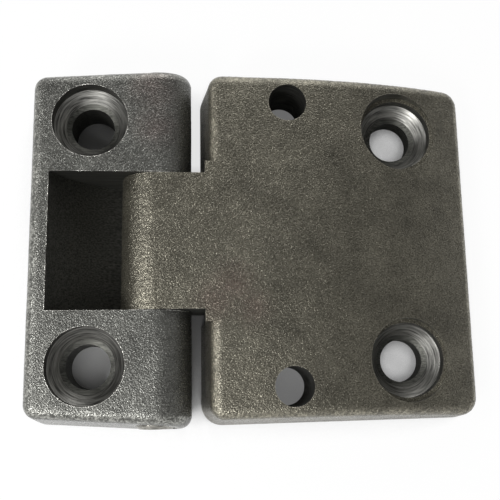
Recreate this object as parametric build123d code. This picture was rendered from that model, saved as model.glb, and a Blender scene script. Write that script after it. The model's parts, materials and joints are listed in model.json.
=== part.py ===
"""Car door hinge: a forked pillar leaf, a door leaf with a tongue, and the pin that joins them.

Millimetres. The mounting faces of both leaves lie on z = 0, +Z points out of them,
+Y runs along the pin, and +X goes from the pillar leaf to the door leaf.
The origin is midway between the pillar leaf's two screw holes, on its mounting face.
"""
import os
from math import asin, cos, degrees, radians, sin, sqrt, tan

from build123d import *

# Sizes shared by the two forged leaves
leaf_thickness = 14.5
forging_draft = 7.0
edge_radius = 2.4
corner_radius = 4.4

# Pin
pin_x = 13.5
pin_diameter = 8.0
pin_proud = 0.3
pin_chamfer = 0.6
pin_running_clearance = 0.05

# Pillar leaf, lengths and half widths on its mounting face
pillar_end_x = -13.3
pillar_end_half_width = 36.2
pillar_pin_half_width = 38.0
knuckle_relief_angle = 45.0

# Slot in the pillar leaf, left by a side milling cutter sunk from the front above the pin
slot_width = 28.3
slot_rim_x = -8.0
cutter_rise = 7.0

# Door leaf, whose sides line up with the pillar leaf's and draw in towards the far end
leaf_gap = 2.05
door_end_x = 81.7
door_side_step = 0.6
door_side_narrowing = 0.7
crown_start_x = 39.0
crown_radius = 110.0

# Tongue of the door leaf
tongue_side_clearance = 0.15
tongue_shoulder_gap = 2.75
tongue_root_step = 2.5

# Countersunk holes for M8 screws
screw_clearance_diameter = 9.0
screw_head_diameter = 15.5
head_cone_angle = 90.0
drill_point_diameter = 11.0
drill_point_angle = 120.0
pillar_screw_spacing = 50.0
pillar_head_depth = 3.0
door_screw_x = 65.5
door_screw_spacing = 49.0
door_head_depth = 2.0
door_seat_diameter = 17.2
door_seat_height = 8.6

# Plain locating holes in the door leaf
locating_diameter = 8.0
locating_x = 41.0
locating_spacing = 59.0

# Places that follow from the sizes above
pin_height = leaf_thickness / 2
knuckle_radius = leaf_thickness / 2
knuckle_end_x = pin_x + knuckle_radius
door_start_x = knuckle_end_x + leaf_gap
tongue_shoulder_x = knuckle_end_x + tongue_shoulder_gap
door_start_half_width = pillar_pin_half_width - door_side_step
door_end_half_width = door_start_half_width - door_side_narrowing
side_view_width = 2 * (pillar_pin_half_width + pillar_end_half_width)
pin_length = 2 * (pillar_pin_half_width - pin_height * tan(radians(forging_draft)) + pin_proud)
cutter_height = leaf_thickness + cutter_rise
cutter_radius = sqrt((pin_x - slot_rim_x) ** 2 + cutter_rise**2)
tongue_width = slot_width - 2 * tongue_side_clearance
tongue_root_width = tongue_width + 2 * tongue_root_step
tool_overshoot = 5.0
blank_allowance = 4 * tool_overshoot
through_cut = 4 * leaf_thickness


def drafted_blank(start_x, end_x, start_half_width, end_half_width):
    """Forging blank: rounded corners on the mounting face, walls that lean in by the draft."""
    corners = (
        (start_x, -start_half_width),
        (end_x, -end_half_width),
        (end_x, end_half_width),
        (start_x, start_half_width),
    )
    plan = make_face(Polyline(*corners, close=True))
    plan = fillet(plan.vertices(), corner_radius)
    return extrude(plan, amount=leaf_thickness + tool_overshoot, taper=forging_draft)


def along_pin(side_view, width):
    """Solid of a closed X-Z outline, centred on y = 0."""
    return extrude(Plane.XZ * make_face(side_view), amount=width / 2, both=True)


def bar_along_pin(diameter, length, z):
    """Round bar parallel to the pin and level with it in X."""
    return Pos(pin_x, 0, z) * Rot(90, 0, 0) * Cylinder(diameter / 2, length)


def countersunk_hole(mouth_z, head_depth):
    """Cutter for one screw: clearance hole, drill point, head cone and a straight mouth."""
    hole_r = screw_clearance_diameter / 2
    point_r = drill_point_diameter / 2
    head_r = screw_head_diameter / 2
    cone_top = mouth_z - head_depth
    cone_foot = cone_top - (head_r - point_r) / tan(radians(head_cone_angle / 2))
    point_foot = cone_foot - (point_r - hole_r) / tan(radians(drill_point_angle / 2))
    above = leaf_thickness + tool_overshoot
    half_section = Polyline(
        (0, -tool_overshoot),
        (hole_r, -tool_overshoot),
        (hole_r, point_foot),
        (point_r, cone_foot),
        (head_r, cone_top),
        (head_r, above),
        (0, above),
        close=True,
    )
    return revolve(Plane.XZ * make_face(half_section), Axis.Z)


def mirrored_pair(shape, x, spacing):
    """The same shape at two places, one each side of y = 0."""
    return [Pos(x, side * spacing / 2, 0) * shape for side in (-1, 1)]


def round_front_rim(blank, seams_from_x, seams_to_x):
    """Rounds the front rim of a blank, but not the smooth seams that cross its front face."""
    rim = blank.edges().filter_by(lambda edge: edge.bounding_box().min.Z > edge_radius)
    crossing = rim.filter_by(Axis.Y)
    seams = crossing.filter_by(lambda edge: seams_from_x < edge.center().X < seams_to_x)
    return fillet([edge for edge in rim if edge not in seams], edge_radius)


def make_pillar_leaf():
    """Forked leaf: round knuckle on the pin, milled slot for the tongue, two screw holes."""
    widening = (pillar_pin_half_width - pillar_end_half_width) / (pin_x - pillar_end_x)
    blank_end_x = knuckle_end_x + blank_allowance
    blank_end_half_width = pillar_pin_half_width + widening * (blank_end_x - pin_x)
    blank = drafted_blank(pillar_end_x, blank_end_x, pillar_end_half_width, blank_end_half_width)

    relief = radians(knuckle_relief_angle)
    relief_x = pin_x + knuckle_radius * cos(relief)
    relief_z = pin_height - knuckle_radius * sin(relief)
    heel = (relief_x - relief_z * tan(relief), 0)
    back_x = pillar_end_x - tool_overshoot
    side_view = Polyline(heel, (back_x, 0), (back_x, leaf_thickness), (pin_x, leaf_thickness))
    side_view += CenterArc((pin_x, pin_height), knuckle_radius, 90, -90 - knuckle_relief_angle)
    side_view += Line((relief_x, relief_z), heel)
    leaf = blank & along_pin(side_view, side_view_width)
    leaf = round_front_rim(leaf, pin_x - edge_radius, blank_end_x)

    way_out = Pos(pin_x, 0, 0) * Box(
        blank_end_x,
        slot_width,
        through_cut,
        align=(Align.MIN, Align.CENTER, Align.CENTER),
    )
    leaf -= bar_along_pin(2 * cutter_radius, slot_width, cutter_height) + way_out
    leaf -= bar_along_pin(pin_diameter, side_view_width, pin_height)
    screw_hole = countersunk_hole(leaf_thickness, pillar_head_depth)
    for hole in mirrored_pair(screw_hole, 0, pillar_screw_spacing):
        leaf -= hole
    return leaf


def make_door_plate():
    """Plate of the door leaf: flat beside the pin, then a crowned front that falls to the far end."""
    blank = drafted_blank(door_start_x, door_end_x, door_start_half_width, door_end_half_width)
    front_x = door_start_x - tool_overshoot
    far_x = door_end_x + tool_overshoot
    crown_turn = asin((far_x - crown_start_x) / crown_radius)
    far_z = leaf_thickness - crown_radius * (1 - cos(crown_turn))
    crown_centre = (crown_start_x, leaf_thickness - crown_radius)
    side_view = CenterArc(crown_centre, crown_radius, 90, -degrees(crown_turn))
    side_view += Polyline(
        (far_x, far_z), (far_x, 0), (front_x, 0), (front_x, leaf_thickness), (crown_start_x, leaf_thickness)
    )
    plate = blank & along_pin(side_view, side_view_width)
    return round_front_rim(plate, door_start_x + 2 * edge_radius, door_end_x - 2 * edge_radius)


def make_tongue():
    """Tongue with a full-round nose on the pin, and the wider stub that its side cuts leave at the root."""
    root_end_x = tongue_shoulder_x + 2 * edge_radius
    side_view = Polyline((pin_x, 0), (root_end_x, 0), (root_end_x, leaf_thickness), (pin_x, leaf_thickness))
    side_view += CenterArc((pin_x, pin_height), knuckle_radius, 90, 180)
    root_view = Pos(tongue_shoulder_x, 0) * Rectangle(
        root_end_x - tongue_shoulder_x, leaf_thickness, align=(Align.MIN, Align.MIN)
    )
    root = extrude(Plane.XZ * root_view, amount=tongue_root_width / 2, both=True)
    return along_pin(side_view, tongue_width) + root


def make_door_leaf():
    """Leaf with the tongue: crowned plate, seated screw holes and plain locating holes."""
    shoulder_cut = Pos(tongue_shoulder_x, 0, 0) * Box(
        2 * tool_overshoot,
        tongue_root_width,
        through_cut,
        align=(Align.MAX, Align.CENTER, Align.CENTER),
    )
    leaf = make_door_plate() - shoulder_cut + make_tongue()
    bore_diameter = pin_diameter + 2 * pin_running_clearance
    leaf -= bar_along_pin(bore_diameter, tongue_root_width, pin_height)

    seat = Cylinder(door_seat_diameter / 2, leaf_thickness, align=(Align.CENTER, Align.CENTER, Align.MIN))
    seat = Pos(0, 0, door_seat_height) * seat
    screw_hole = countersunk_hole(door_seat_height, door_head_depth)
    for tool in (seat, screw_hole):
        for cut in mirrored_pair(tool, door_screw_x, door_screw_spacing):
            leaf -= cut
    locating_hole = Cylinder(locating_diameter / 2, through_cut)
    for hole in mirrored_pair(locating_hole, locating_x, locating_spacing):
        leaf -= hole
    return leaf


def make_hinge_pin():
    """Plain steel pin, pressed into the fork and free in the tongue."""
    pin = bar_along_pin(pin_diameter, pin_length, pin_height)
    return chamfer(pin.edges().filter_by(GeomType.CIRCLE), pin_chamfer)


os.makedirs("parts", exist_ok=True)
export_step(make_pillar_leaf(), "parts/pillar_leaf.step")
export_step(make_door_leaf(), "parts/door_leaf.step")
export_step(make_hinge_pin(), "parts/hinge_pin.step")
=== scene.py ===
"""Looks of a car door hinge: grained forged leaves, turned and milled steel, and a plain studio.

Metres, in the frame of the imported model: both mounting faces lie on z = 0, +Z is the front,
+Y runs along the pin, and +X goes from the pillar leaf to the door leaf.
"""
import json
from collections import namedtuple
from math import hypot, radians, sqrt
from random import Random

import bmesh
import bpy
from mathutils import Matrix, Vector
from mathutils.bvhtree import BVHTree
from mathutils.geometry import delaunay_2d_cdt
from mathutils.kdtree import KDTree


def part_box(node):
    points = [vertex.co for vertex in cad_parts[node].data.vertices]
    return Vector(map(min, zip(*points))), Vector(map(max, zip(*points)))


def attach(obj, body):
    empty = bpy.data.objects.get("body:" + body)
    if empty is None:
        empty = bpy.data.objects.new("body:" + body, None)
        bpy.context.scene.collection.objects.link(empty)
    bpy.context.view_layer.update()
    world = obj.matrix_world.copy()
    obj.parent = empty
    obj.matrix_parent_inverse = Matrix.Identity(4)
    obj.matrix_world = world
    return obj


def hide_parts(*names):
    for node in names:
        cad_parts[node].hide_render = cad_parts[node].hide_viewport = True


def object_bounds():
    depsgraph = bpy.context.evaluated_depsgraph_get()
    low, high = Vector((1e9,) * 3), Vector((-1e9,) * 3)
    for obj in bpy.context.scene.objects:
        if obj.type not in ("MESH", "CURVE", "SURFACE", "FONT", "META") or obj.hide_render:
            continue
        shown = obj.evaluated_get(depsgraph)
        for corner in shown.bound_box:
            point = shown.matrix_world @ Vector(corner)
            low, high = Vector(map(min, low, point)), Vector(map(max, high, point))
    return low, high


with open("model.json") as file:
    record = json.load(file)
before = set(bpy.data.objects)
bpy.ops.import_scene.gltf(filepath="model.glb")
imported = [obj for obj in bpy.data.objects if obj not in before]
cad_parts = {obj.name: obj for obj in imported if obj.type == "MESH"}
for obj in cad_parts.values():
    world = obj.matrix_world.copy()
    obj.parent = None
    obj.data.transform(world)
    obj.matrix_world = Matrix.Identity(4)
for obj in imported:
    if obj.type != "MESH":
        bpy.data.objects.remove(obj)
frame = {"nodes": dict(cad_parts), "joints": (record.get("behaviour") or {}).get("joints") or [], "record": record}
cad_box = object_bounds()

bl_info = {
    "name": "Car door hinge looks",
    "version": (1, 0, 0),
    "blender": (4, 5, 0),
    "location": "3D View > Sidebar > Hinge",
    "description": "Grained forged leaves, machined steel and a plain studio for a car door hinge",
    "category": "Object",
}

MM = 0.001
WHITE = (1.0, 1.0, 1.0, 1.0)
PHOTO_WIDTH = 500
SENSOR_WIDTH = 36.0

# Zones of a leaf, which are also the order of its material slots
SKIN, TURNED, MILLED, GROUND, SEAT = range(5)
Face = namedtuple("Face", "corners zone side")

# Sides from which the skin is seen; the front counts twice, for the tongue and for the rest
TONGUE_FRONT, FRONT = range(2)
SIDES = tuple(
    Vector(axis)
    for axis in ((0, 0, 1), (0, 0, 1), (1, 0, 0), (-1, 0, 0), (0, 1, 0), (0, -1, 0), (0, 0, -1))
)
FRONT_RISE = 0.6

# How near a cut a face must lie to belong to it, and the part of its normal along an axis that
# counts as square to it, or below which the face counts as a wall beside it
SLACK = 0.02 * MM
SQUARE = 0.999
BESIDE = 0.5

# Rise of a rounded edge's normal where its wear begins and how fast it grows, from wall and flat
WALL_RISE, WALL_BLEND = 0.35, 0.25
FLAT_RISE, FLAT_BLEND = 0.97, 0.12

# Usual spread of a noise texture about its middle
NOISE_LOW, NOISE_HIGH = 0.3, 0.7

# Brown bloom on each leaf's front: X, Y and radius in millimetres
PILLAR_BLOOMS = ((13.3, 32.0, 8.0), (13.8, 24.0, 7.0))
DOOR_BLOOMS = ((29.0, -9.0, 7.0), (25.5, -12.5, 7.0), (33.0, -14.0, 6.0))

# Lamps: name, place from the hinge's middle and width, in metres
LAMPS = (
    ("key", (-0.19, -0.203, 0.23), 0.1),
    ("side", (-0.24, 0.02, 0.24), 0.07),
    ("near", (-0.034, -0.078, 0.1), 0.1),
    ("back", (0.02, 0.3, 0.14), 0.22),
)

# Kinds of node that come up often
MAP_RANGE = "ShaderNodeMapRange"
MATH = "ShaderNodeMath"
MIX = "ShaderNodeMix"
NOISE = "ShaderNodeTexNoise"

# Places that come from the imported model, and the middle of the gap between its leaves
MOUNTS = {mount["name"]: mount for mount in frame["record"]["mounts"]}
PIN_AXIS = Vector(frame["joints"][0]["pos_m"])
KNUCKLE_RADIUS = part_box("pillar_leaf")[1].x - PIN_AXIS.x
BORE_REACH = KNUCKLE_RADIUS * 0.6
FRONT_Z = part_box("pillar_leaf")[1].z
LEAF_GAP = 2.0 * MM
GAP_X = PIN_AXIS.x + KNUCKLE_RADIUS + LEAF_GAP / 2


def linear(hex_colour):
    """Linear red, green and blue of an sRGB hex colour."""
    channels = [int(hex_colour[i : i + 2], 16) / 255 for i in (1, 3, 5)]
    return tuple(c / 12.92 if c <= 0.04045 else ((c + 0.055) / 1.055) ** 2.4 for c in channels)


def length(name, description, millimetres):
    """A length that a user can change, given in millimetres."""
    return bpy.props.FloatProperty(
        name=name, description=description, default=millimetres * MM, precision=5, unit="LENGTH"
    )


def factor(name, description, value):
    """A plain factor that a user can change."""
    return bpy.props.FloatProperty(name=name, description=description, default=value, min=0.0)


def lamp_power(name, description, watts):
    """The power of a lamp, which a user can change."""
    return bpy.props.FloatProperty(
        name=name, description=description, default=watts, min=0.0, unit="POWER"
    )


def colour(name, description, hex_colour):
    """A colour that a user can change, given as sRGB hex."""
    return bpy.props.FloatVectorProperty(
        name=name,
        description=description,
        default=linear(hex_colour),
        subtype="COLOR",
        min=0.0,
        max=1.0,
    )


class HingeSizes(bpy.types.PropertyGroup):
    """Machined places on the leaves, which the grain has to leave clean"""

    screw_head_radius: length("Screw head radius", "Mouth of each countersunk hole", 7.75)
    # Inside this radius the hole takes darker steel: painted shade deeper in the hole
    drill_point_shade_radius: length("Drill point radius", "Foot of each head cone; dark below it", 5.5)
    door_seat_radius: length("Door seat radius", "Seat round each door screw", 8.6)
    door_seat_height: length("Door seat height", "Floor of the seat round each door screw", 8.6)
    slot_width: length("Slot width", "Milled slot of the pillar leaf, across the tongue", 28.3)
    slot_rim: length("Slot rim", "X of the slot's rim on the front face", -8.0)
    cutter_rise: length("Cutter rise", "Height of the slot cutter's axis above the front", 7.0)
    tongue_shoulder: length("Tongue shoulder", "X of the milled shoulder beside the tongue", 23.5)
    tongue_root_width: length("Tongue root width", "Stub that the shoulder cuts leave", 33.0)
    tongue_root_length: length("Tongue root length", "From the shoulder to the flat front", 4.5)
    crown_start: length("Crown start", "X where the door leaf's front begins to fall", 39.0)
    crown_radius: length("Crown radius", "Radius of the door leaf's falling front", 110.0)


class SkinSettings(bpy.types.PropertyGroup):
    """Forged and shot-blasted skin of the two leaves"""

    edge: length("Mesh edge", "Spacing of the grained mesh", 0.3)
    grain_size: length("Grain size", "Width of one blasted dimple", 0.5)
    pillar_grain_depth: length("Pillar grain depth", "Rise and fall of the pillar's grain", 0.03)
    door_grain_depth: length("Door grain depth", "Rise and fall of the door leaf's grain", 0.05)
    pillar_dimple: length("Pillar dimple", "Width of the pillar leaf's finest dimples", 0.3)
    door_dimple: length("Door dimple", "Width of the door leaf's finest dimples", 0.28)
    # Lightening of flecks on rounded edges: rubbed steel, and partly a painted highlight
    pillar_wear_and_highlight: factor("Pillar wear", "How far flecks lighten the pillar's rubbed edges", 2.5)
    door_wear_and_highlight: factor("Door wear", "How far flecks lighten the door leaf's rubbed edges", 1.9)
    pillar_worn_relief: factor("Pillar worn relief", "Fine dimples left on rubbed edges", 0.5)
    door_worn_relief: factor("Door worn relief", "Fine dimples left on rubbed edges", 1.2)
    nose_size: length("Scale size", "Width of the coarse scale on nose and edges", 0.8)
    nose_depth: length("Scale depth", "How far the coarse scale rises and falls", 0.14)
    nose_blend: length("Scale blend", "Length over which the nose's scale begins", 3.0)
    wave_size: length("Wave size", "Width of the slow unevenness left by the die", 7.0)
    wave_depth: length("Wave depth", "How far the slow unevenness rises and falls", 0.05)
    pit_spacing: length("Pit spacing", "Typical distance between scale pits", 11.0)
    pit_radius: length("Pit radius", "Radius of one scale pit", 0.55)
    pit_depth: length("Pit depth", "Depth of one scale pit", 0.14)
    seed: bpy.props.IntProperty(name="Seed", description="Fixed seed of the grain", default=7, min=0)


class HingeColours(bpy.types.PropertyGroup):
    """Colours of the finishes"""

    pillar_light: colour("Pillar light", "Raised grain of the pillar leaf", "#82827d")
    pillar_dark: colour("Pillar dark", "Hollows of the pillar leaf", "#4a4a46")
    door_light: colour("Door light", "Raised grain of the door leaf", "#8c887a")
    door_dark: colour("Door dark", "Hollows of the door leaf", "#48453c")
    rust: colour("Rust bloom", "Faint brown patches on the skin", "#6a5450")
    pillar_burr: colour("Pillar burr", "Bare steel on the pillar leaf's cut rims", "#d8d6cf")
    door_burr: colour("Door burr", "Bare steel on the door leaf's cut rims", "#8f8b7e")
    turned: colour("Turned steel", "Walls of the countersinks and holes", "#a8a7a2")
    milled: colour("Milled steel", "Slot and tongue sides, dark with oil", "#6a6a65")
    ground: colour("Ground steel", "Mounting faces", "#8f8d88")
    pin: colour("Pin steel", "Ground pin", "#b9b6ae")
    floor: colour("Floor", "Paper under the hinge", "#f7f7f7")


class StageSettings(bpy.types.PropertyGroup):
    """Camera and light"""

    camera_place: bpy.props.FloatVectorProperty(
        name="Camera place",
        description="Where the camera stands",
        default=(20.14 * MM, -29.37 * MM, 159.69 * MM),
        precision=5,
        subtype="TRANSLATION",
    )
    camera_turn: bpy.props.FloatVectorProperty(
        name="Camera turn",
        description="Turn about X, then Y, then Z, from looking straight down",
        default=(0.1847, -0.0836, -0.0016),
        subtype="EULER",
    )
    focal_pixels: factor("Focal length in pixels", "Focal length of the photograph's frame", 732.7)
    horizon_level: factor("Horizon level", "Brightness of the pale walls all round", 0.42)
    zenith_level: factor("Zenith level", "Brightness overhead, where the camera stands", 0.14)
    key_power: lamp_power("Key power", "Lamp at the lower left", 0.75)
    side_power: lamp_power("Side power", "Lamp at the left", 0.32)
    near_power: lamp_power("Near power", "Small lamp close to the lower edge", 0.05)
    back_power: lamp_power("Back power", "Weak soft lamp beyond the upper edge", 0.45)


def add(tree, kind, inputs=None, **settings):
    """Adds a node with its settings; an input is a value, or a socket to link."""
    made = tree.nodes.new(kind)
    for field, value in settings.items():
        setattr(made, field, value)
    for key, value in (inputs or {}).items():
        if isinstance(value, bpy.types.NodeSocket):
            tree.links.new(value, made.inputs[key])
        else:
            made.inputs[key].default_value = value
    return made


def per_metre(size):
    """Scale of a texture whose features have this size in metres."""
    return 1.0 / size


def opaque(rgb):
    """Colour with full alpha, for a shader socket."""
    return (*rgb, 1.0)


def new_material(name):
    """Empty node material and its tree."""
    material = bpy.data.materials.new(name)
    material.use_nodes = True
    material.node_tree.nodes.clear()
    return material, material.node_tree


# Forged steel, shot-blasted, phosphated and oiled: a dark grey grained skin whose dimples sparkle
# where they face the light, with darker patches, faint brown bloom, flecks on rounded edges lightened
# as rubbed bare steel and partly as a painted highlight, and a thin bright burr on cut rims.
def forged_skin(name, light, dark, rust, burr, dimple, wear_and_highlight_level, worn_relief, blooms):
    patch_size = 7.0 * MM
    fleck_size = 0.6 * MM
    chip_size = 2.5 * MM
    grit_height = 0.1 * MM
    dimple_height = 0.22 * dimple
    bloom_strength = 0.6
    darkest_patch, lightest_patch = 0.72, 1.2
    hollow_roughness, raised_roughness = 0.34, 0.2
    worn_matting = 0.06

    material, tree = new_material(name)
    place = add(tree, "ShaderNodeTexCoord").outputs["Object"]
    grit = add(
        tree, NOISE, {"Vector": place, "Scale": per_metre(dimple), "Detail": 2.0, "Roughness": 0.6}
    ).outputs["Fac"]
    patch = add(
        tree, NOISE, {"Vector": place, "Scale": per_metre(patch_size), "Detail": 4.0, "Roughness": 0.6}
    ).outputs["Fac"]
    tone = add(tree, MAP_RANGE, {"Value": grit, "From Min": NOISE_LOW, "From Max": NOISE_HIGH})
    skin = add(
        tree,
        MIX,
        {"Factor": tone.outputs["Result"], "A": opaque(dark), "B": opaque(light)},
        data_type="RGBA",
    )

    bloom = 0.0
    for x, y, radius in blooms:
        middle = (x * MM, y * MM, FRONT_Z)
        away = add(tree, "ShaderNodeVectorMath", {0: place, 1: middle}, operation="DISTANCE")
        spot = add(
            tree,
            MAP_RANGE,
            {
                "Value": away.outputs["Value"],
                "From Min": radius * MM,
                "From Max": 0.0,
                "To Max": bloom_strength,
            },
            interpolation_type="SMOOTHSTEP",
        )
        bloom = add(tree, MATH, {0: spot.outputs[0], 1: bloom}, operation="MAXIMUM").outputs[0]
    bloom_share = add(tree, MATH, {0: bloom, 1: patch}, operation="MULTIPLY")
    bloomed = add(
        tree,
        MIX,
        {"Factor": bloom_share.outputs[0], "A": skin.outputs[2], "B": opaque(rust)},
        data_type="RGBA",
    )

    patch_level = add(
        tree,
        MAP_RANGE,
        {
            "Value": patch,
            "From Min": NOISE_LOW,
            "From Max": NOISE_HIGH,
            "To Min": darkest_patch,
            "To Max": lightest_patch,
        },
    )
    # Flecks on rounded edges are lightened: rubbed bare steel, and partly a painted highlight
    worn = add(tree, "ShaderNodeAttribute", attribute_name="worn").outputs["Fac"]
    flecks = add(tree, NOISE, {"Vector": place, "Scale": per_metre(fleck_size), "Detail": 1.0})
    flecked = add(tree, MAP_RANGE, {"Value": flecks.outputs["Fac"], "From Min": 0.4, "From Max": 0.65})
    polished_and_highlit = add(tree, MATH, {0: worn, 1: flecked.outputs["Result"]}, operation="MULTIPLY")
    rubbed = add(
        tree, MAP_RANGE, {"Value": polished_and_highlit.outputs[0], "To Min": 1.0, "To Max": wear_and_highlight_level}
    )
    level = add(
        tree,
        MATH,
        {0: patch_level.outputs["Result"], 1: rubbed.outputs["Result"]},
        operation="MULTIPLY",
    )
    shade = add(
        tree,
        MIX,
        {"Factor": 1.0, "A": bloomed.outputs[2], "B": level.outputs[0]},
        data_type="RGBA",
        blend_type="MULTIPLY",
    )

    rim = add(tree, "ShaderNodeAttribute", attribute_name="cut_rim").outputs["Fac"]
    chips = add(tree, NOISE, {"Vector": place, "Scale": per_metre(chip_size), "Detail": 3.0})
    chipped = add(tree, MATH, {0: rim, 1: chips.outputs["Fac"]}, operation="MULTIPLY")
    bare = add(tree, MAP_RANGE, {"Value": chipped.outputs[0], "From Min": 0.3, "From Max": 0.5})
    finish = add(
        tree,
        MIX,
        {"Factor": bare.outputs["Result"], "A": shade.outputs[2], "B": opaque(burr)},
        data_type="RGBA",
    )

    grain_gloss = add(
        tree,
        MAP_RANGE,
        {
            "Value": grit,
            "From Min": NOISE_LOW,
            "From Max": NOISE_HIGH,
            "To Min": hollow_roughness,
            "To Max": raised_roughness,
        },
    )
    roughness = add(
        tree,
        MATH,
        {0: worn, 1: worn_matting, 2: grain_gloss.outputs["Result"]},
        operation="MULTIPLY_ADD",
    )
    relief = add(tree, MAP_RANGE, {"Value": worn, "To Min": 1.0, "To Max": worn_relief})
    dimples = add(tree, "ShaderNodeTexVoronoi", {"Vector": place, "Scale": per_metre(dimple)})
    dimpled = add(
        tree,
        "ShaderNodeBump",
        {
            "Height": dimples.outputs["Distance"],
            "Strength": relief.outputs["Result"],
            "Distance": dimple_height,
        },
    )
    bump = add(
        tree,
        "ShaderNodeBump",
        {
            "Height": grit,
            "Strength": relief.outputs["Result"],
            "Distance": grit_height,
            "Normal": dimpled.outputs["Normal"],
        },
    )
    shader = add(
        tree,
        "ShaderNodeBsdfPrincipled",
        {
            "Base Color": finish.outputs[2],
            "Roughness": roughness.outputs[0],
            "Normal": bump.outputs["Normal"],
            "Metallic": 0.75,
            "Coat Weight": 0.15,
            "Coat Roughness": 0.2,
            "Coat Normal": bump.outputs["Normal"],
        },
    )
    add(tree, "ShaderNodeOutputMaterial", {"Surface": shader.outputs["BSDF"]})
    return material


# Steel with the marks of a tool: streaks as long and as wide as given along X, Y and Z, which darken
# the colour down to the given share and stand up as fine ridges.
def tooled_steel(name, rgb, roughness, marks_xyz, detail, darkest, ridge, ridge_strength):
    material, tree = new_material(name)
    place = add(tree, "ShaderNodeTexCoord").outputs["Object"]
    scales = tuple(per_metre(size) for size in marks_xyz)
    stretch = add(tree, "ShaderNodeMapping", {"Vector": place, "Scale": scales})
    marks = add(tree, NOISE, {"Vector": stretch.outputs[0], "Scale": 1.0, "Detail": detail})
    level = add(
        tree,
        MAP_RANGE,
        {
            "Value": marks.outputs["Fac"],
            "From Min": NOISE_LOW,
            "From Max": NOISE_HIGH,
            "To Min": darkest,
            "To Max": 1.0,
        },
    )
    shade = add(
        tree,
        MIX,
        {"Factor": 1.0, "A": opaque(rgb), "B": level.outputs["Result"]},
        data_type="RGBA",
        blend_type="MULTIPLY",
    )
    bump = add(
        tree,
        "ShaderNodeBump",
        {"Height": marks.outputs["Fac"], "Strength": ridge_strength, "Distance": ridge},
    )
    shader = add(
        tree,
        "ShaderNodeBsdfPrincipled",
        {
            "Base Color": shade.outputs[2],
            "Roughness": roughness,
            "Metallic": 1.0,
            "Normal": bump.outputs["Normal"],
        },
    )
    add(tree, "ShaderNodeOutputMaterial", {"Surface": shader.outputs["BSDF"]})
    return material


# Turned steel: rings left by the countersink and drill, semi-bright. The real rings are about
# 0.1 mm wide, and are drawn twice as wide so that they show.
def turned_steel(rgb):
    ring_length, ring_width = 4.0 * MM, 0.22 * MM
    return tooled_steel(
        "turned_steel",
        rgb,
        roughness=0.42,
        marks_xyz=(ring_length, ring_length, ring_width),
        detail=3.0,
        darkest=0.15,
        ridge=0.05 * MM,
        ridge_strength=0.5,
    )


# Steel cut by a tool that runs along X: straight marks, in the given colour and gloss.
def straight_cut_steel(name, rgb, roughness, mark_width):
    mark_length = 14.0 * MM
    return tooled_steel(
        name,
        rgb,
        roughness,
        marks_xyz=(mark_length, mark_width, mark_width),
        detail=4.0,
        darkest=0.3,
        ridge=0.03 * MM,
        ridge_strength=0.4,
    )


def near_hole(point, mount_name, radius):
    """True for a point inside either hole of a mirrored pair."""
    mount = MOUNTS[mount_name]
    spacing = mount["dims"]["spacing_y_mm"] * MM
    return hypot(point.x - mount["pos_m"][0], abs(point.y) - spacing / 2) < radius


def from_pin(point):
    """Distance of a point from the pin's axis."""
    return hypot(point.x - PIN_AXIS.x, point.z - PIN_AXIS.z)


def pillar_zone(point, normal, sizes):
    """Zone of a face of the pillar leaf."""
    if normal.z < -SQUARE:
        return GROUND
    # Below the drill point the hole takes the darker milled steel, as painted shade deeper in the hole
    if near_hole(point, "pillar_screws", sizes.drill_point_shade_radius + SLACK):
        return MILLED
    if near_hole(point, "pillar_screws", sizes.screw_head_radius + SLACK):
        return TURNED
    if from_pin(point) < BORE_REACH:
        return TURNED if abs(normal.y) < BESIDE else MILLED
    cutter_z = FRONT_Z + sizes.cutter_rise
    cutter_radius = hypot(PIN_AXIS.x - sizes.slot_rim, sizes.cutter_rise)
    in_cutter = hypot(point.x - PIN_AXIS.x, point.z - cutter_z) < cutter_radius + SLACK
    if in_cutter and abs(point.y) < sizes.slot_width / 2 + SLACK:
        return MILLED
    return SKIN


def door_zone(point, normal, sizes):
    """Zone of a face of the door leaf."""
    if normal.z < -SQUARE:
        return GROUND
    # Below the drill point the hole takes the darker milled steel, as painted shade deeper in the hole
    if near_hole(point, "door_screws", sizes.drill_point_shade_radius + SLACK):
        return MILLED
    in_head = near_hole(point, "door_screws", sizes.screw_head_radius + SLACK)
    if in_head and point.z < sizes.door_seat_height - SLACK:
        return TURNED
    if near_hole(point, "door_screws", sizes.door_seat_radius + SLACK):
        return SEAT if normal.z > SQUARE else TURNED if normal.z < BESIDE else SKIN
    locating_radius = MOUNTS["door_locating_holes"]["dims"]["hole_r_mm"] * MM
    if near_hole(point, "door_locating_holes", locating_radius + SLACK):
        return TURNED
    if point.x < sizes.tongue_shoulder + SLACK and abs(normal.y) > SQUARE:
        return MILLED
    if abs(point.x - sizes.tongue_shoulder) < SLACK and normal.x < -SQUARE:
        return MILLED
    if from_pin(point) < BORE_REACH:
        return TURNED
    return SKIN


def on_true_curves(point, sizes):
    """Place of a skin point on the round nose, knuckle or crown that its facet stands for."""
    facet_gap = 0.03 * MM
    arm = Vector((point.x - PIN_AXIS.x, 0.0, point.z - PIN_AXIS.z))
    if abs(arm.length - KNUCKLE_RADIUS) < facet_gap and abs(arm.x) > facet_gap:
        return point + arm.normalized() * (KNUCKLE_RADIUS - arm.length)
    run = point.x - sizes.crown_start
    if run > 0.0:
        drop = sizes.crown_radius - sqrt(sizes.crown_radius**2 - run**2)
        if abs(FRONT_Z - drop - point.z) < facet_gap:
            return Vector((point.x, point.y, FRONT_Z - drop))
    return point


def wear(rise):
    """How worn a rounded edge is, from the rise of its normal: nothing on flats and walls."""
    from_flat = (FLAT_RISE - rise) / FLAT_BLEND
    from_wall = (rise - WALL_RISE) / WALL_BLEND
    return max(0.0, min(1.0, from_flat, from_wall))


def edge_key(a, b):
    """The same name for an edge from either end."""
    return (min(a, b), max(a, b))


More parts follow.
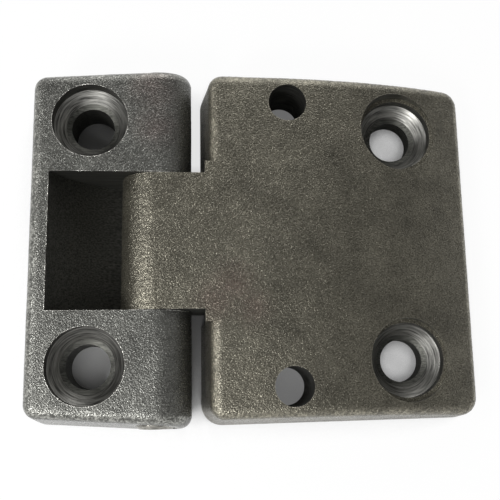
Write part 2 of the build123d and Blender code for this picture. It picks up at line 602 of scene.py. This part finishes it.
def edge_keys(corners):
    """Names of the three edges of a triangle, in order."""
    return [edge_key(a, b) for a, b in zip(corners, corners[1:] + corners[:1])]


def side_of(point, normal, sizes):
    """Number of the side that a face of the skin looks to; the front takes all but steep ones."""
    if normal.z > FRONT_RISE:
        root_end = sizes.tongue_shoulder + sizes.tongue_root_length
        on_tongue = point.x < root_end and abs(point.y) < sizes.tongue_root_width / 2
        return TONGUE_FRONT if on_tongue else FRONT
    return max(range(len(SIDES)), key=lambda side: SIDES[side].dot(normal))


def read_leaf(node, zone_of, sizes):
    """Points, zoned faces and sharp edges of a CAD leaf."""
    merge_distance = 0.001 * MM
    feature_angle = radians(14.0)
    source = bmesh.new()
    source.from_mesh(frame["nodes"][node].data)
    bmesh.ops.remove_doubles(source, verts=source.verts, dist=merge_distance)
    source.normal_update()
    source.verts.index_update()
    points = [vert.co.copy() for vert in source.verts]
    faces = []
    for face in source.faces:
        corners = tuple(vert.index for vert in face.verts)
        middle = face.calc_center_median()
        zone = zone_of(middle, face.normal, sizes)
        faces.append(Face(corners, zone, side_of(middle, face.normal, sizes)))
    sharp = {
        edge_key(*(vert.index for vert in edge.verts))
        for edge in source.edges
        if edge.calc_face_angle() > feature_angle
    }
    source.free()
    return points, faces, sharp


def find_seams(faces, sharp):
    """Edges where the skin ends or turns to another side, and its sharp edges."""
    beside = {}
    for face in faces:
        for key in edge_keys(face.corners):
            kind = (face.zone, face.side if face.zone == SKIN else None)
            beside.setdefault(key, set()).add(kind)
    return {
        key
        for key, kinds in beside.items()
        if (len(kinds) > 1 or key in sharp) and any(kind[0] == SKIN for kind in kinds)
    }


def cut_triangle(corners, middles, points):
    """Triangles of one triangle whose edges ab, bc and ca may each have a middle point."""
    if middles.count(None) == 3:
        return [corners]
    if None not in middles:
        (a, b, c), (ab, bc, ca) = corners, middles
        return [(a, ab, ca), (ab, b, bc), (ca, bc, c), (ab, bc, ca)]
    while middles[0] is None or middles[2] is not None:
        corners = corners[1:] + corners[:1]
        middles = middles[1:] + middles[:1]
    a, b, c = corners
    ab, bc, _ = middles
    if bc is None:
        return [(a, ab, c), (ab, b, c)]
    if (points[a] - points[bc]).length < (points[ab] - points[c]).length:
        return [(ab, b, bc), (a, ab, bc), (a, bc, c)]
    return [(ab, b, bc), (a, ab, c), (ab, bc, c)]


def halve_seams(points, faces, seams, sharp, longest):
    """Halves the seams until none is too long, and cuts the triangles beside them to match."""
    while True:
        middles = {}
        for a, b in seams:
            if (points[a] - points[b]).length > longest:
                middles[(a, b)] = len(points)
                points.append((points[a] + points[b]) / 2)
        if not middles:
            return faces
        for key, middle in middles.items():
            halves = {edge_key(end, middle) for end in key}
            for group in (seams, sharp):
                if key in group:
                    group.remove(key)
                    group.update(halves)
        cut = []
        for face in faces:
            on_edges = tuple(middles.get(key) for key in edge_keys(face.corners))
            parts = cut_triangle(face.corners, on_edges, points)
            cut += [face._replace(corners=part) for part in parts]
        faces = cut


def even_points(tree, rim, points, axis, spacing, chance):
    """Points spread evenly over a sheet of the skin, clear of its rim."""
    jitter = 0.2
    rim_clearance = 0.6 * spacing
    across, up = (i for i in range(3) if axis[i] == 0.0)
    near_rim = KDTree(len(rim))
    for corner in rim:
        near_rim.insert(points[corner], corner)
    near_rim.balance()
    low = [min(points[corner][i] for corner in rim) for i in range(3)]
    high = [max(points[corner][i] for corner in rim) for i in range(3)]
    row_height = spacing * sqrt(3.0) / 2
    spread = []
    for row in range(int((high[up] - low[up]) / row_height) + 1):
        for column in range(int((high[across] - low[across]) / spacing) + 1):
            spot = axis.copy()
            sideways = column + row % 2 / 2 + chance.uniform(-jitter, jitter)
            spot[across] = low[across] + spacing * sideways
            spot[up] = low[up] + row_height * (row + chance.uniform(-jitter, jitter))
            hit = tree.ray_cast(spot, -axis)[0]
            if hit and near_rim.find(hit)[2] > rim_clearance:
                spread.append(hit)
    return spread


def even_sheet(points, sheet, seams, side, spacing, chance):
    """Even triangles in place of one side of the skin, with the same seams round it."""
    smallest_area = (0.01 * MM) ** 2
    merge_distance = 1e-5
    axis = SIDES[side]
    across, up = (i for i in range(3) if axis[i] == 0.0)
    tree = BVHTree.FromPolygons(points, sheet)
    rim_edges = sorted({key for corners in sheet for key in edge_keys(corners)} & seams)
    rim = sorted({corner for key in rim_edges for corner in key})
    spread = even_points(tree, rim, points, axis, spacing, chance)
    names = rim + list(range(len(points), len(points) + len(spread)))
    points.extend(spread)

    number = {name: i for i, name in enumerate(names)}
    flat = [Vector((points[name][across], points[name][up])) / MM for name in names]
    links = [(number[a], number[b]) for a, b in rim_edges]
    _, _, triangles, origins, _, _ = delaunay_2d_cdt(flat, links, [], 0, merge_distance)
    made = []
    for triangle in triangles:
        corners = tuple(names[origins[i][0]] for i in triangle)
        a, b, c = (points[corner] for corner in corners)
        area = (b - a).cross(c - a).dot(axis) / 2
        middle = (a + b + c) / 3
        middle_from_outside = middle - axis * middle.dot(axis) + axis
        if abs(area) > smallest_area and tree.ray_cast(middle_from_outside, -axis)[0]:
            made.append(Face(corners if area > 0 else corners[::-1], SKIN, side))
    return made


def zoned_copy(node, name, zone_of, sizes, skin):
    """Copy of a leaf with zones as material indices, fine and even on its skin to carry grain."""
    points, faces, sharp = read_leaf(node, zone_of, sizes)
    seams = find_seams(faces, sharp)
    faces = halve_seams(points, faces, seams, sharp, skin.edge)
    chance = Random(skin.seed)
    kept = [face for face in faces if face.zone != SKIN]
    for side in range(len(SIDES)):
        sheet = [face.corners for face in faces if face.zone == SKIN and face.side == side]
        if sheet:
            kept += even_sheet(points, sheet, seams, side, skin.edge, chance)

    zones_at = {}
    for face in kept:
        for corner in face.corners:
            zones_at.setdefault(corner, []).append(face.zone)
    used = sorted(zones_at)
    number = {corner: i for i, corner in enumerate(used)}
    around = [zones_at[corner] for corner in used]
    shares = [0.0 if GROUND in zones else (zones.count(SKIN) / len(zones)) ** 2 for zones in around]
    places = [
        on_true_curves(points[corner], sizes) if share == 1.0 else points[corner]
        for corner, share in zip(used, shares)
    ]

    data = bpy.data.meshes.new(name)
    data.from_pydata(places, [], [tuple(number[corner] for corner in face.corners) for face in kept])
    data.polygons.foreach_set("material_index", [face.zone for face in kept])
    data.polygons.foreach_set("use_smooth", [True] * len(kept))
    for edge in data.edges:
        edge.use_edge_sharp = edge_key(*(used[i] for i in edge.vertices)) in sharp

    worn = [
        wear(vertex.normal.z) if share == 1.0 and place == points[corner] else 0.0
        for vertex, share, place, corner in zip(data.vertices, shares, places, used)
    ]
    rubbed_away = 0.5
    low_fade = 0.5 * MM
    relief = [
        share * (1.0 - rubbed_away * rubbed) * max(0.0, min(1.0, place.z / low_fade))
        for share, rubbed, place in zip(shares, worn, places)
    ]
    cut_rims = [float(SKIN in zones and (TURNED in zones or MILLED in zones)) for zones in around]
    for attribute, values in (("skin", relief), ("worn", worn), ("cut_rim", cut_rims)):
        data.attributes.new(attribute, "FLOAT", "POINT").data.foreach_set("value", values)
    return data


def grain_tree():
    """Geometry nodes that raise blasted grain, die unevenness, coarse scale and pits on the skin."""
    tree = bpy.data.node_groups.new("blasted_grain", "GeometryNodeTree")
    panel = tree.interface
    panel.new_socket("Geometry", in_out="INPUT", socket_type="NodeSocketGeometry")
    for name in (
        *("Grain size", "Grain depth", "Wave size", "Wave depth"),
        *("Nose size", "Nose depth", "Nose from", "Nose to"),
        *("Pit spacing", "Pit radius", "Pit depth", "Seed"),
    ):
        panel.new_socket(name, in_out="INPUT", socket_type="NodeSocketFloat")
    panel.new_socket("Skin", in_out="INPUT", socket_type="NodeSocketMaterial")
    panel.new_socket("Geometry", in_out="OUTPUT", socket_type="NodeSocketGeometry")

    given = add(tree, "NodeGroupInput").outputs
    place = add(tree, "GeometryNodeInputPosition").outputs[0]
    skin, worn = (
        add(tree, "GeometryNodeInputNamedAttribute", {"Name": name}, data_type="FLOAT").outputs[0]
        for name in ("skin", "worn")
    )

    def heights(size, depth, detail):
        """Noise of a given size, from minus to plus the given depth."""
        lowest, highest = 0.2, 0.8
        scale = add(tree, MATH, {0: 1.0, 1: size}, operation="DIVIDE")
        noise = add(
            tree,
            NOISE,
            {"Vector": place, "W": given["Seed"], "Scale": scale.outputs[0], "Detail": detail},
            noise_dimensions="4D",
        )
        centred = add(
            tree,
            MAP_RANGE,
            {"Value": noise.outputs[0], "From Min": lowest, "From Max": highest, "To Min": -1.0},
        )
        return add(tree, MATH, {0: centred.outputs[0], 1: depth}, operation="MULTIPLY").outputs[0]

    grain = heights(given["Grain size"], given["Grain depth"], detail=1.0)
    wave = heights(given["Wave size"], given["Wave depth"], detail=2.0)
    scale_all_over = heights(given["Nose size"], given["Nose depth"], detail=2.0)
    along = add(tree, "ShaderNodeSeparateXYZ", {0: place}).outputs["X"]
    on_nose = add(
        tree,
        MAP_RANGE,
        {"Value": along, "From Min": given["Nose from"], "From Max": given["Nose to"]},
        interpolation_type="SMOOTHSTEP",
    )
    scaled = add(tree, MATH, {0: on_nose.outputs[0], 1: worn}, operation="MAXIMUM")
    scale = add(tree, MATH, {0: scale_all_over, 1: scaled.outputs[0]}, operation="MULTIPLY")

    pit_scale = add(tree, MATH, {0: 1.0, 1: given["Pit spacing"]}, operation="DIVIDE")
    cells = add(
        tree,
        "ShaderNodeTexVoronoi",
        {"Vector": place, "W": given["Seed"], "Scale": pit_scale.outputs[0]},
        voronoi_dimensions="4D",
    )
    reach = add(
        tree, MATH, {0: cells.outputs["Distance"], 1: given["Pit spacing"]}, operation="MULTIPLY"
    )
    hollow = add(
        tree,
        MAP_RANGE,
        {"Value": reach.outputs[0], "From Min": given["Pit radius"], "From Max": 0.0},
        interpolation_type="SMOOTHSTEP",
    )
    pit = add(tree, MATH, {0: hollow.outputs[0], 1: given["Pit depth"]}, operation="MULTIPLY")

    uneven = add(tree, MATH, {0: grain, 1: wave}, operation="ADD")
    raised = add(tree, MATH, {0: uneven.outputs[0], 1: scale.outputs[0]}, operation="ADD")
    pitted = add(tree, MATH, {0: raised.outputs[0], 1: pit.outputs[0]}, operation="SUBTRACT")
    masked = add(tree, MATH, {0: pitted.outputs[0], 1: skin}, operation="MULTIPLY")
    normal = add(tree, "GeometryNodeInputNormal").outputs[0]
    offset = add(
        tree, "ShaderNodeVectorMath", {0: normal, "Scale": masked.outputs[0]}, operation="SCALE"
    )
    moved = add(
        tree, "GeometryNodeSetPosition", {"Geometry": given["Geometry"], "Offset": offset.outputs[0]}
    )
    real = add(tree, "GeometryNodeRealizeInstances", {0: moved.outputs[0]})
    slot_index = add(tree, "GeometryNodeInputMaterialIndex").outputs[0]
    on_skin = add(
        tree, "FunctionNodeCompare", {"A": slot_index, "B": SKIN}, data_type="INT", operation="EQUAL"
    )
    dressed = add(
        tree,
        "GeometryNodeSetMaterial",
        {"Geometry": real.outputs[0], "Selection": on_skin.outputs[0], "Material": given["Skin"]},
    )
    add(tree, "NodeGroupOutput", {0: dressed.outputs[0]})
    return tree


def raise_grain(piece, settings, skin_material, grain_depth, nose_depth):
    """Runs the grain nodes on a piece and keeps the result as a plain mesh."""
    modifier = piece.modifiers.new("blasted_grain", "NODES")
    modifier.node_group = bpy.data.node_groups.get("blasted_grain") or grain_tree()
    values = {
        "Grain size": settings.grain_size,
        "Grain depth": grain_depth,
        "Wave size": settings.wave_size,
        "Wave depth": settings.wave_depth,
        "Nose size": settings.nose_size,
        "Nose depth": nose_depth,
        "Nose from": PIN_AXIS.x + settings.nose_blend / 2,
        "Nose to": PIN_AXIS.x - settings.nose_blend / 2,
        "Pit spacing": settings.pit_spacing,
        "Pit radius": settings.pit_radius,
        "Pit depth": settings.pit_depth,
        "Seed": float(settings.seed),
        "Skin": skin_material,
    }
    for socket in modifier.node_group.interface.items_tree:
        if socket.in_out == "INPUT" and socket.name in values:
            modifier[socket.identifier] = values[socket.name]
    graph = bpy.context.evaluated_depsgraph_get()
    grained = bpy.data.meshes.new_from_object(piece.evaluated_get(graph))
    piece.modifiers.clear()
    piece.data = grained


def build_leaf(scene, node, name, zone_of, skin_material, grain_depth, nose_depth, body):
    """Grained leaf that stands for a CAD node."""
    settings = scene.hinge_skin
    colours = scene.hinge_colours
    kept = bpy.data.materials
    turned = kept.get("turned_steel") or turned_steel(colours.turned)
    milled = kept.get("milled_steel") or straight_cut_steel(
        "milled_steel", colours.milled, roughness=0.55, mark_width=0.3 * MM
    )
    ground = kept.get("ground_steel") or straight_cut_steel(
        "ground_steel", colours.ground, roughness=0.38, mark_width=0.35 * MM
    )
    data = zoned_copy(node, name, zone_of, scene.hinge_sizes, settings)
    for material in (skin_material, turned, milled, ground, skin_material):
        data.materials.append(material)
    piece = bpy.data.objects.new(name, data)
    scene.collection.objects.link(piece)
    raise_grain(piece, settings, skin_material, grain_depth, nose_depth)
    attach(piece, body)
    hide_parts(node)


class HINGE_OT_pillar_leaf(bpy.types.Operator):
    """Builds the grained pillar leaf"""

    bl_idname = "hinge.pillar_leaf"
    bl_label = "Pillar leaf"

    def execute(self, context):
        colours = context.scene.hinge_colours
        settings = context.scene.hinge_skin
        finish = forged_skin(
            "pillar_forged_skin",
            light=colours.pillar_light,
            dark=colours.pillar_dark,
            rust=colours.rust,
            burr=colours.pillar_burr,
            dimple=settings.pillar_dimple,
            wear_and_highlight_level=settings.pillar_wear_and_highlight,
            worn_relief=settings.pillar_worn_relief,
            blooms=PILLAR_BLOOMS,
        )
        build_leaf(
            context.scene,
            "pillar_leaf",
            "pillar_forging",
            pillar_zone,
            finish,
            grain_depth=settings.pillar_grain_depth,
            nose_depth=0.0,
            body="pillar",
        )
        return {"FINISHED"}


class HINGE_OT_door_leaf(bpy.types.Operator):
    """Builds the grained door leaf"""

    bl_idname = "hinge.door_leaf"
    bl_label = "Door leaf"

    def execute(self, context):
        colours = context.scene.hinge_colours
        settings = context.scene.hinge_skin
        finish = forged_skin(
            "door_forged_skin",
            light=colours.door_light,
            dark=colours.door_dark,
            rust=colours.rust,
            burr=colours.door_burr,
            dimple=settings.door_dimple,
            wear_and_highlight_level=settings.door_wear_and_highlight,
            worn_relief=settings.door_worn_relief,
            blooms=DOOR_BLOOMS,
        )
        build_leaf(
            context.scene,
            "door_leaf",
            "door_forging",
            door_zone,
            finish,
            grain_depth=settings.door_grain_depth,
            nose_depth=settings.nose_depth,
            body="door",
        )
        return {"FINISHED"}


class HINGE_OT_pin(bpy.types.Operator):
    """Gives the hinge pin its ground steel"""

    bl_idname = "hinge.pin"
    bl_label = "Pin"

    def execute(self, context):
        rgb = context.scene.hinge_colours.pin
        steel = straight_cut_steel("ground_pin_steel", rgb, roughness=0.3, mark_width=0.25 * MM)
        pin = frame["nodes"]["hinge_pin"]
        pin.data.materials.clear()
        pin.data.materials.append(steel)
        return {"FINISHED"}


def add_lamp(scene, name, place, target, width, power):
    """Square soft lamp that points at a target."""
    lamp = bpy.data.lights.new(name, "AREA")
    lamp.size = width
    lamp.energy = power
    holder = bpy.data.objects.new(name, lamp)
    holder.location = place
    holder.rotation_euler = (target - place).to_track_quat("-Z", "Y").to_euler()
    scene.collection.objects.link(holder)


# Matt white paper: white where it lies open, with its real shadow beside walls and under deep holes deepened by
# painted shade. Painted light makes it glow in the upper gap between the leaves and, fainter, through the holes of
# the door leaf; painted shade makes it dimmest through the pillar leaf's upper hole.
def paper(rgb):
    shade_reach = 12.0 * MM
    material, tree = new_material("white_paper")
    path = add(tree, "ShaderNodeLightPath").outputs
    opening = add(tree, "ShaderNodeAmbientOcclusion", {"Distance": shade_reach}, samples=8).outputs["AO"]
    place = add(tree, "ShaderNodeTexCoord").outputs["Object"]
    axes = add(tree, "ShaderNodeSeparateXYZ", {0: place}).outputs

    # Painted light: the paper glows by place in the upper gap between the leaves and, fainter, under the door leaf
    past_gap = add(tree, MATH, {0: axes["X"], 1: GAP_X}, operation="SUBTRACT").outputs[0]
    off_gap = add(tree, MATH, {0: past_gap}, operation="ABSOLUTE").outputs[0]
    painted_gap_light = {"Value": off_gap, "From Min": 4.0 * MM, "From Max": 1.5 * MM, "To Max": 0.75}
    painted_light_near_gap = add(tree, MAP_RANGE, painted_gap_light).outputs["Result"]
    upper_half = {"Value": axes["Y"], "From Min": 10.0 * MM, "From Max": 20.0 * MM}
    is_upper = add(tree, MAP_RANGE, upper_half).outputs["Result"]
    painted_light_in_upper_gap = add(tree, MATH, {0: painted_light_near_gap, 1: is_upper}, operation="MULTIPLY").outputs[0]
    # Painted light under the door leaf, seen through its holes
    door_light = {
        "Value": axes["X"],
        "From Min": GAP_X + 2.0 * MM,
        "From Max": GAP_X + 6.0 * MM,
        "To Max": 0.13,
    }
    painted_light_under_door = add(tree, MAP_RANGE, door_light).outputs["Result"]
    painted_leak_light = add(tree, MATH, {0: painted_light_in_upper_gap, 1: painted_light_under_door}, operation="MAXIMUM").outputs[0]

    # Share of white that the camera sees, and that metal mirrors
    open_white = {"Value": opening, "From Min": 0.36, "From Max": 0.6, "To Max": 0.95}
    lies_open = add(tree, MAP_RANGE, open_white).outputs["Result"]
    seen = add(tree, MATH, {0: lies_open, 1: painted_leak_light}, operation="MAXIMUM").outputs[0]
    to_camera = add(tree, MATH, {0: path["Is Camera Ray"], 1: seen}, operation="MULTIPLY")
    mirror_white = {"Value": opening, "From Min": 0.5, "From Max": 1.0, "To Max": 0.9}
    mirrored = add(tree, MAP_RANGE, mirror_white).outputs["Result"]
    by_mirror = {0: path["Is Glossy Ray"], 1: path["Is Transmission Ray"]}
    is_mirror = add(tree, MATH, by_mirror, operation="MAXIMUM").outputs[0]
    to_mirrors = add(tree, MATH, {0: is_mirror, 1: mirrored}, operation="MULTIPLY")
    share = add(
        tree, MATH, {0: to_camera.outputs[0], 1: to_mirrors.outputs[0]}, operation="MAXIMUM"
    ).outputs[0]

    # Painted shade on the paper: darker where the leaves close it in, and deepest under the pillar leaf's upper
    # half
    painted_shade_up_pillar = {
        "Value": axes["Y"],
        "From Min": -10.0 * MM,
        "From Max": 10.0 * MM,
        "To Min": 0.75,
        "To Max": 0.08,
    }
    painted_shade_under_pillar = add(tree, MAP_RANGE, painted_shade_up_pillar).outputs["Result"]
    pillar_to_door = {
        "Value": axes["X"],
        "From Min": GAP_X - 10.0 * MM,
        "From Max": GAP_X,
        "To Min": painted_shade_under_pillar,
        "To Max": 0.3,
    }
    deepest_painted_shade = add(tree, MAP_RANGE, pillar_to_door).outputs["Result"]
    # Painted shade: the paper's colour darkens with occlusion, down to the level set by place
    painted_paper_shade = add(tree, MAP_RANGE, {"Value": opening, "From Max": 0.75, "To Min": deepest_painted_shade})
    shaded = add(
        tree,
        MIX,
        {"Factor": 1.0, "A": opaque(rgb), "B": painted_paper_shade.outputs["Result"]},
        data_type="RGBA",
        blend_type="MULTIPLY",
    )
    matt = add(tree, "ShaderNodeBsdfDiffuse", {"Color": shaded.outputs[2]})
    glow = add(tree, "ShaderNodeEmission", {"Color": WHITE, "Strength": 1.0})
    mixed = add(tree, "ShaderNodeMixShader", {0: share, 1: matt.outputs[0], 2: glow.outputs[0]})
    add(tree, "ShaderNodeOutputMaterial", {"Surface": mixed.outputs[0]})
    return material


def add_floor(scene, rgb):
    """Wide sheet of paper just under the mounting faces."""
    half = 1.5
    below = -0.02 * MM
    data = bpy.data.meshes.new("floor")
    corners = [(-half, -half, below), (half, -half, below), (half, half, below), (-half, half, below)]
    data.from_pydata(corners, [], [(0, 1, 2, 3)])
    data.materials.append(paper(rgb))
    floor = bpy.data.objects.new("floor", data)
    scene.collection.objects.link(floor)


def add_world(scene, horizon, zenith):
    """Light from pale walls under a darker ceiling, white where the camera looks past the floor."""
    wall_top, ceiling = 0.3, 0.8
    world = bpy.data.worlds.new("studio")
    world.use_nodes = True
    tree = world.node_tree
    tree.nodes.clear()
    path = add(tree, "ShaderNodeLightPath").outputs
    direction = add(tree, "ShaderNodeTexCoord").outputs["Generated"]
    height = add(tree, "ShaderNodeSeparateXYZ", {"Vector": direction}).outputs["Z"]
    level = add(
        tree,
        MAP_RANGE,
        {
            "Value": height,
            "From Min": wall_top,
            "From Max": ceiling,
            "To Min": horizon,
            "To Max": zenith,
        },
        interpolation_type="SMOOTHSTEP",
    )
    strength = add(
        tree,
        MAP_RANGE,
        {"Value": path["Is Camera Ray"], "To Min": level.outputs["Result"], "To Max": 1.0},
    )
    light = add(tree, "ShaderNodeBackground", {"Color": WHITE, "Strength": strength.outputs[0]})
    add(tree, "ShaderNodeOutputWorld", {"Surface": light.outputs[0]})
    scene.world = world


def add_camera(scene, stage):
    """Camera at the photograph's view."""
    camera = bpy.data.cameras.new("camera")
    camera.sensor_width = SENSOR_WIDTH
    camera.lens = stage.focal_pixels / PHOTO_WIDTH * SENSOR_WIDTH
    camera.clip_start = 5.0 * MM
    holder = bpy.data.objects.new("camera", camera)
    holder.location = stage.camera_place
    holder.rotation_mode = "ZYX"
    holder.rotation_euler = stage.camera_turn
    scene.collection.objects.link(holder)
    scene.camera = holder


class HINGE_OT_stage(bpy.types.Operator):
    """Sets the floor, the lamps, the world and the camera"""

    bl_idname = "hinge.stage"
    bl_label = "Stage"

    def execute(self, context):
        scene = context.scene
        stage = scene.hinge_stage
        middle = (cad_box[0] + cad_box[1]) / 2
        add_floor(scene, scene.hinge_colours.floor)
        for name, offset, width in LAMPS:
            power = getattr(stage, name + "_power")
            add_lamp(scene, name, middle + Vector(offset), middle, width, power)
        add_world(scene, stage.horizon_level, stage.zenith_level)
        add_camera(scene, stage)
        scene.view_settings.view_transform = "Standard"
        return {"FINISHED"}


class HINGE_PT_looks(bpy.types.Panel):
    """Pieces, finishes and stage of the hinge"""

    bl_label = "Hinge looks"
    bl_idname = "HINGE_PT_looks"
    bl_space_type = "VIEW_3D"
    bl_region_type = "UI"
    bl_category = "Hinge"

    def draw(self, context):
        for operator in OPERATORS:
            self.layout.operator(operator.bl_idname)
        for name in SETTINGS:
            group = getattr(context.scene, name)
            for field in group.bl_rna.properties.keys():
                if field not in ("rna_type", "name"):
                    self.layout.prop(group, field)


OPERATORS = (HINGE_OT_pillar_leaf, HINGE_OT_door_leaf, HINGE_OT_pin, HINGE_OT_stage)
SETTINGS = {
    "hinge_sizes": HingeSizes,
    "hinge_skin": SkinSettings,
    "hinge_colours": HingeColours,
    "hinge_stage": StageSettings,
}
CLASSES = (*SETTINGS.values(), *OPERATORS, HINGE_PT_looks)


def register():
    """Registers the classes and hangs the settings on the scene."""
    for made in CLASSES:
        bpy.utils.register_class(made)
    for name, group in SETTINGS.items():
        setattr(bpy.types.Scene, name, bpy.props.PointerProperty(type=group))


def unregister():
    """Takes the settings and the classes away again."""
    for name in SETTINGS:
        delattr(bpy.types.Scene, name)
    for made in reversed(CLASSES):
        bpy.utils.unregister_class(made)


def main():
    """Builds the pieces and the stage."""
    register()
    bpy.ops.hinge.pillar_leaf()
    bpy.ops.hinge.door_leaf()
    bpy.ops.hinge.pin()
    bpy.ops.hinge.stage()


if __name__ == "__main__":
    main()
